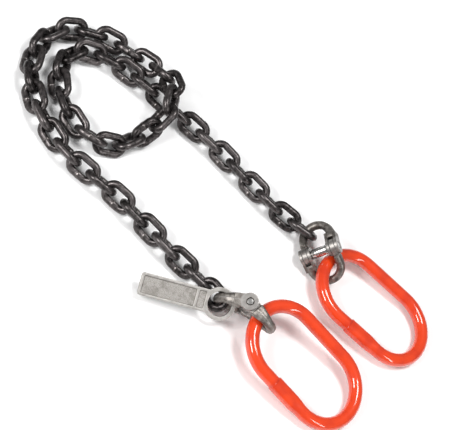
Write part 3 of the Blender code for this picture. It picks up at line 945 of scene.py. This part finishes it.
@dataclass
class Couplings:
    """Coupling links: two like halves, each with a fork and a tongue, on a pin with a sleeve."""

    bow_width: float = 7.6 * MM
    bow_thickness: float = 8.7 * MM
    leg_spread: float = 14.2 * MM
    arch_start: float = 15.2 * MM
    leg_end: float = 9.3 * MM
    eye_radius: float = 8.0 * MM
    tongue: float = 5.0 * MM
    fork: float = 11.4 * MM
    slot: float = 5.6 * MM
    bore: float = 6.8 * MM
    pin: float = 6.2 * MM
    pin_length: float = 39.2 * MM
    sleeve: float = 9.4 * MM
    sleeve_length: float = 16.4 * MM
    taper_end: float = 26.0 * MM
    leg_deepening: float = 2.5 * MM
    fork_widening: float = 0.9 * MM
    squareness: float = 2.5
    fork_root: float = 14.5 * MM
    tongue_root: float = 12.0 * MM
    root_rise: float = 1.2 * MM
    slot_gap: float = 0.6 * MM
    slot_reach: float = 12 * MM
    bore_reach: float = 30 * MM
    countersink: float = 0.55 * MM
    voxel: float = 0.36 * MM
    ridge: float = 0.24 * MM
    ridge_width: float = 0.42 * MM
    lump_size: float = 4.5 * MM

    def bow(self) -> bpy.types.Mesh:
        """The bow and both legs, swept, each leg growing deeper towards its eye."""
        bm = bmesh.new()
        stations: list[tuple[Vector, Vector]] = []
        leg_steps, arch_steps, sides = 8, 28, 24
        for step in range(leg_steps):
            x = self.leg_end + (self.arch_start - self.leg_end) * step / leg_steps
            stations.append((Vector((x, self.leg_spread, 0)), Vector((0, 1, 0))))
        for step in range(arch_steps + 1):
            angle = math.pi / 2 - math.pi * step / arch_steps
            normal = Vector((math.cos(angle), math.sin(angle), 0))
            stations.append((Vector((self.arch_start, 0, 0)) + normal * self.leg_spread, normal))
        for step in reversed(range(leg_steps)):
            x = self.leg_end + (self.arch_start - self.leg_end) * step / leg_steps
            stations.append((Vector((x, -self.leg_spread, 0)), Vector((0, -1, 0))))
        rings = []
        for centre, normal in stations:
            grow = float(steps(np.array(centre.x), self.taper_end, self.leg_end))
            deep = self.bow_thickness / 2 + self.leg_deepening * grow
            wide = self.bow_width / 2 + (self.fork_widening * grow if centre.y > 0 else 0.0)
            ring = []
            for side in range(sides):
                angle = 2 * math.pi * side / sides
                c, s = math.cos(angle), math.sin(angle)
                power = 2 / self.squareness
                across = normal * (wide * math.copysign(abs(c) ** power, c))
                upwards = Vector((0, 0, deep * math.copysign(abs(s) ** power, s)))
                ring.append(bm.verts.new(centre + across + upwards))
            rings.append(ring)
        for first, second in zip(rings, rings[1:]):
            for side in range(sides):
                following = (side + 1) % sides
                bm.faces.new((first[side], first[following], second[following], second[side]))
        bm.faces.new(rings[0])
        bm.faces.new(rings[-1])
        return mesh_of("bow", bm)

    def eye(self, middle: float, thickness: float, root: float) -> bpy.types.Mesh:
        """One eye round the pin, drawn back into its leg.

        Args:
            middle: where it lies along the pin.
            thickness: how thick it is along the pin.
            root: how far back it reaches.

        Returns:
            The closed mesh.
        """
        half_root = self.bow_thickness / 2 + self.root_rise
        start = math.degrees(math.asin(half_root / self.eye_radius)) + 10
        outline = arc(0, 0, self.eye_radius, start, 360 - start, 40)
        outline += [(root, -half_root * 0.9), (root, half_root * 0.9)]
        mesh = slab(outline, -thickness / 2, thickness / 2)
        mesh.transform(Matrix.Translation((0, middle, 0)) @ Matrix.Rotation(math.pi / 2, 4, "X"))
        return mesh

    def half(self) -> bpy.types.Mesh:
        """A half: pin axis along Y through the origin, bow towards +X, fork at +Y, tongue at -Y."""
        solid = joined([self.bow(), self.eye(self.leg_spread, self.fork, self.fork_root),
                        self.eye(-self.leg_spread, self.tongue, self.tongue_root)])
        forged = evaluated(solid, [
            ("REMESH", {"mode": "VOXEL", "voxel_size": self.voxel}),
            ("SMOOTH", {"factor": 0.5, "iterations": 6}),
        ])
        points, normals = mesh_points(forged), mesh_points(forged, "normal")
        off_eye = steps(points[:, 0], 9.0 * MM, 13.0 * MM)
        outwards = 1 - np.abs(normals[:, 2])
        line = np.exp(-((points[:, 2] / self.ridge_width) ** 2)) * steps(outwards, 0.3, 0.7) * off_eye
        lumps = np.array([noise.noise(Vector(p) / self.lump_size) for p in points]) * 0.14 * MM * off_eye
        shifted = points + normals * (line * self.ridge + lumps)[:, None]
        forged.vertices.foreach_set("co", shifted.ravel())
        slot_back, reach = self.eye_radius + self.slot_gap, self.slot_reach
        slot_line = [(-reach, -reach), (slot_back * 0.55, -reach), (slot_back, -reach),
                     (slot_back, reach), (slot_back * 0.55, reach), (-reach, reach)]
        slot = slab(slot_line, -self.slot / 2, self.slot / 2)
        slot.transform(Matrix.Translation((0, self.leg_spread, 0)) @ Matrix.Rotation(math.pi / 2, 4, "X"))
        mesh = sealed(cut(forged, [slot, self.bore_tool()]), 38.0)
        self.mark_half(mesh)
        return mesh

    def bore_tool(self) -> bpy.types.Mesh:
        """The bore through both eyes, countersunk at the fork's outer face."""
        radius, lead, over = self.bore / 2, self.countersink, 0.2 * MM
        outer, reach = self.leg_spread + self.fork / 2, self.bore_reach
        wide = radius + lead + over
        profile = [(-reach, 0), (-reach, radius), (outer - lead, radius), (outer + over, wide),
                   (reach, wide), (reach, 0)]
        return turned("bore", profile, 48, False)

    def mark_half(self, mesh: bpy.types.Mesh) -> None:
        """Stores where a half is ground flat and where its parting line and edges are rubbed bright."""
        points, normals = mesh_points(mesh), mesh_points(mesh, "normal")
        near_pin = steps(np.hypot(points[:, 0], points[:, 2]), 9.5 * MM, 7.8 * MM)
        store_mark(mesh, "ground", near_pin * steps(np.abs(normals[:, 1]), 0.8, 0.97))
        ridge = np.exp(-((points[:, 2] / (0.45 * MM)) ** 2)) * steps(1 - np.abs(normals[:, 2]), 0.3, 0.8)
        rim = near_pin * steps(np.hypot(points[:, 0], points[:, 2]), 6.9 * MM, 7.7 * MM)
        store_mark(mesh, "edge", np.maximum(ridge * 0.8, rim * 0.7))

    def pin_mesh(self) -> bpy.types.Mesh:
        """The load pin with its chamfered, slightly domed ends."""
        end, radius = self.pin_length / 2, self.pin / 2
        half = [(0.0, radius), (end * 0.5, radius), (end - 0.8 * MM, radius),
                (end - 0.45 * MM, radius - 0.12 * MM), (end - 0.15 * MM, radius - 0.5 * MM),
                (end - 0.04 * MM, radius * 0.55), (end, 0.0)]
        profile = [(-y, r) for y, r in reversed(half[1:])] + half
        return turned("pin", profile, 48, False)

    def sleeve_mesh(self) -> bpy.types.Mesh:
        """The centring sleeve, a little fuller at its middle, bored for the pin."""
        end, outer, inner = self.sleeve_length / 2, self.sleeve / 2, self.bore / 2
        half = [(0.0, outer), (end * 0.55, outer - 0.05 * MM), (end - 0.6 * MM, outer - 0.18 * MM),
                (end - 0.15 * MM, outer - 0.45 * MM), (end, outer - 0.8 * MM), (end, inner + 0.3 * MM),
                (end - 0.3 * MM, inner)]
        profile = [(-y, r) for y, r in reversed(half[1:])] + half
        return turned("sleeve", profile, 64, True)

    def build(self, forged: ForgedSteel, bright: BrightSteel) -> None:
        """Builds and dresses both coupling links."""
        steel, polish = forged.material(), bright.material()
        half, pin, sleeve = self.half(), self.pin_mesh(), self.sleeve_mesh()
        for end in End:
            fold = joint(f"{end.value}_coupler_fold")
            centre, axis = Vector(fold["pos_m"]), Vector(fold["axis"])
            for which, sign in ((Half.CHAIN, 1), (Half.MASTER, -1)):
                node = f"{end.value}_coupler_{which.value}_half"
                body = f"{end.value}_coupler_{which.value}_side"
                middle = Vector(mesh_points(frame["nodes"][node].data).mean(0))
                place = Placement.from_axes(centre, middle - centre, axis * sign)
                piece(f"{end.value}_{which.value}_half", half, place, node, body, steel)
                if which is Half.CHAIN:
                    for name, mesh in (("pin", pin), ("sleeve", sleeve)):
                        stood_for = f"{end.value}_coupler_{name}"
                        piece(f"{end.value}_{name}", mesh, place, stood_for, body, polish)


# ---------------------------------------------------------------- tag


@dataclass
class Tag:
    """The identification tag: a cast plate with two sunk blank panels and a ring."""

    thickness: float = 4.0 * MM
    ring_outer: float = 15.2 * MM
    ring_inner: float = 11.4 * MM
    plate_end: float = 76.0 * MM
    plate_width: float = 20.8 * MM
    panel_width: float = 16.2 * MM
    small_start: float = 14.3 * MM
    small_end: float = 21.3 * MM
    large_start: float = 23.6 * MM
    large_end: float = 73.7 * MM
    recess: float = 1.1 * MM
    panel_draft: float = 0.35 * MM
    panel_corner: float = 1.1 * MM
    hole_sides: int = 40
    neck_fillet: float = 4.0 * MM
    corner: float = 2.4 * MM
    voxel: float = 0.30 * MM

    def outline(self) -> list[tuple[float, float]]:
        """The tag's edge: ring, concave necks and plate."""
        half = self.plate_width / 2
        neck_y = half + self.neck_fillet
        neck_x = math.sqrt((self.ring_outer + self.neck_fillet) ** 2 - neck_y ** 2)
        meet = math.degrees(math.atan2(neck_y, neck_x))
        ring = arc(0, 0, self.ring_outer, meet, 360 - meet, 64)
        lower = arc(neck_x, -neck_y, self.neck_fillet, 180 - meet, 90, 8)[1:]
        corner_x = self.plate_end - self.corner
        end = arc(corner_x, -half + self.corner, self.corner, -90, 0, 6)
        end += arc(corner_x, half - self.corner, self.corner, 0, 90, 6)
        upper = arc(neck_x, neck_y, self.neck_fillet, 270, 180 + meet, 8)[:-1]
        return ring + lower + end + upper

    def build(self, finish: CastSteel) -> None:
        """Builds and dresses the tag."""
        top = self.thickness / 2
        floor = top - self.recess
        hole = arc(0, 0, self.ring_inner, 0, 360 - 360 / self.hole_sides, self.hole_sides - 1)
        tools = [slab(hole, -2 * top, 2 * top)]
        draft = self.panel_draft
        for start, end in ((self.small_start, self.small_end), (self.large_start, self.large_end)):
            line = rounded_box(start + draft, end - draft, self.panel_width / 2 - draft, self.panel_corner)
            tools.append(slab(line, floor, top + 1.0 * MM, 2 * draft))
        solid = cut(slab(self.outline(), -top, top), tools)
        mesh = sealed(evaluated(solid, [
            ("REMESH", {"mode": "VOXEL", "voxel_size": self.voxel}),
            ("SMOOTH", {"factor": 0.5, "iterations": 2}),
        ]), 60.0)
        self.mark_panels(mesh, floor, top)
        swing = joint("tag_swing")
        centre, face = Vector(swing["pos_m"]), Vector(swing["axis"])
        middle = Vector(mesh_points(frame["nodes"]["identification_tag"].data).mean(0)) - centre
        along = (middle - face * middle.dot(face)).normalized()
        place = Placement(centre, along, face.cross(along), face)
        node = "identification_tag"
        piece("tag_plate", mesh, place, node, node, finish.material())

    def mark_panels(self, mesh: bpy.types.Mesh, floor: float, top: float) -> None:
        """Stores where the face is sunk and where the panels' walls are, which the material darkens as
        painted shade.

        Args:
            mesh: the tag, changed in place.
            floor: the height of the panels' floors.
            top: the height of the face round them.
        """
        points, normals = mesh_points(mesh), mesh_points(mesh, "normal")
        x, y, z = points.T
        start, face_side = self.small_start, z > 0
        inside = (steps(self.panel_width / 2 - np.abs(y), -0.1 * MM, 0.2 * MM)
                  * steps(x, start - 0.1 * MM, start + 0.2 * MM))
        sunk = inside * steps(z, top - 0.25 * MM, floor + 0.25 * MM) * face_side * (normals[:, 2] > 0)
        store_mark(mesh, "sunk", sunk)
        # the panels' walls, where the material paints shade into the grooves
        wall = steps(top - z, 0.2 * MM, 0.5 * MM) * steps(1 - normals[:, 2], 0.03, 0.25)
        store_mark(mesh, "groove", wall * inside * face_side * (x > start - 0.5 * MM))


# ---------------------------------------------------------------- studio


@dataclass
class Studio:
    """The camera, lights, world and floor."""

    target: Vector
    elevation: float = 51.5
    roll: float = 45.0
    distance: float = 1.25
    lens: float = 104.64
    world: float = 0.26

    def camera(self) -> None:
        """Places the camera above the near side, tilted on its own axis."""
        e, roll = math.radians(self.elevation), math.radians(self.roll)
        back = Vector((0, -math.cos(e), math.sin(e)))
        level_up = Vector((0, math.sin(e), math.cos(e)))
        right = Vector((math.cos(roll), 0, 0)) + level_up * math.sin(roll)
        up = Vector((-math.sin(roll), 0, 0)) + level_up * math.cos(roll)
        data = bpy.data.cameras.new("camera")
        data.lens, data.sensor_width = self.lens, 36.0
        data.clip_start, data.clip_end = 0.05, 20.0
        made = bpy.data.objects.new("camera", data)
        turn = Matrix((right, up, back)).transposed().to_4x4()
        made.matrix_world = Matrix.Translation(self.target + back * self.distance) @ turn
        bpy.context.scene.collection.objects.link(made)
        bpy.context.scene.camera = made

    def softbox(self, name: str, direction: Vector, distance: float, size: tuple[float, float], power: float,
                colour: Colour = (1, 1, 1)) -> None:
        """A rectangular light that faces the object.

        Args:
            name: its name.
            direction: from the object to it.
            distance: how far off it stands.
            size: its width and height.
            power: its power in watts.
            colour: its colour.
        """
        data = bpy.data.lights.new(name, "AREA")
        data.shape, data.size, data.size_y = "RECTANGLE", *size
        data.energy, data.color = power, colour
        made = bpy.data.objects.new(name, data)
        way = direction.normalized()
        turn = way.to_track_quat("Z", "Y").to_matrix().to_4x4()
        made.matrix_world = Matrix.Translation(self.target + way * distance) @ turn
        bpy.context.scene.collection.objects.link(made)

    def build(self, paper: FloorPaper) -> None:
        """Sets up everything that isn't the object."""
        self.camera()
        self.softbox("key", Vector((-0.48, -0.72, 0.66)), 1.3, (0.50, 0.32), 13.0)
        self.softbox("overhead", Vector((0.10, 0.12, 1.0)), 1.7, (0.55, 0.55), 18.0)
        self.softbox("right_strip", Vector((1.0, -0.35, 0.62)), 1.4, (0.16, 0.8), 5.0)
        sky = bpy.data.worlds.new("studio")
        bpy.context.scene.world = sky
        sky.use_nodes = True
        background = sky.node_tree.nodes["Background"]
        background.inputs["Color"].default_value = (1.0, 1.0, 1.0, 1.0)
        background.inputs["Strength"].default_value = self.world
        bm = bmesh.new()
        half, level = 6.0, cad_box[0].z - 0.02 * MM
        corners = ((-half, -half), (half, -half), (half, half), (-half, half))
        bm.faces.new([bm.verts.new((x, y, level)) for x, y in corners])
        floor = bpy.data.objects.new("floor", mesh_of("floor", bm))
        floor.data.materials.append(paper.material())
        bpy.context.scene.collection.objects.link(floor)
        settings = bpy.context.scene.view_settings
        settings.view_transform, settings.look, settings.exposure = "Standard", "None", 0.0


def main() -> None:
    """Builds the sling piece by piece and the studio round it."""
    logging.basicConfig(level=logging.INFO, format="%(name)s: %(message)s")
    rings = RingTree()
    Chain(rings).build(BlackenedSteel())
    MasterLinks(rings).build(OrangePaint())
    Couplings().build(ForgedSteel(), BrightSteel())
    Tag().build(CastSteel())
    view_centre = Vector((0.00816, 0.02739, 0.00163))
    Studio(view_centre).build(FloorPaper())
    LOG.info("sizes written")


if __name__ == "__main__":
    main()
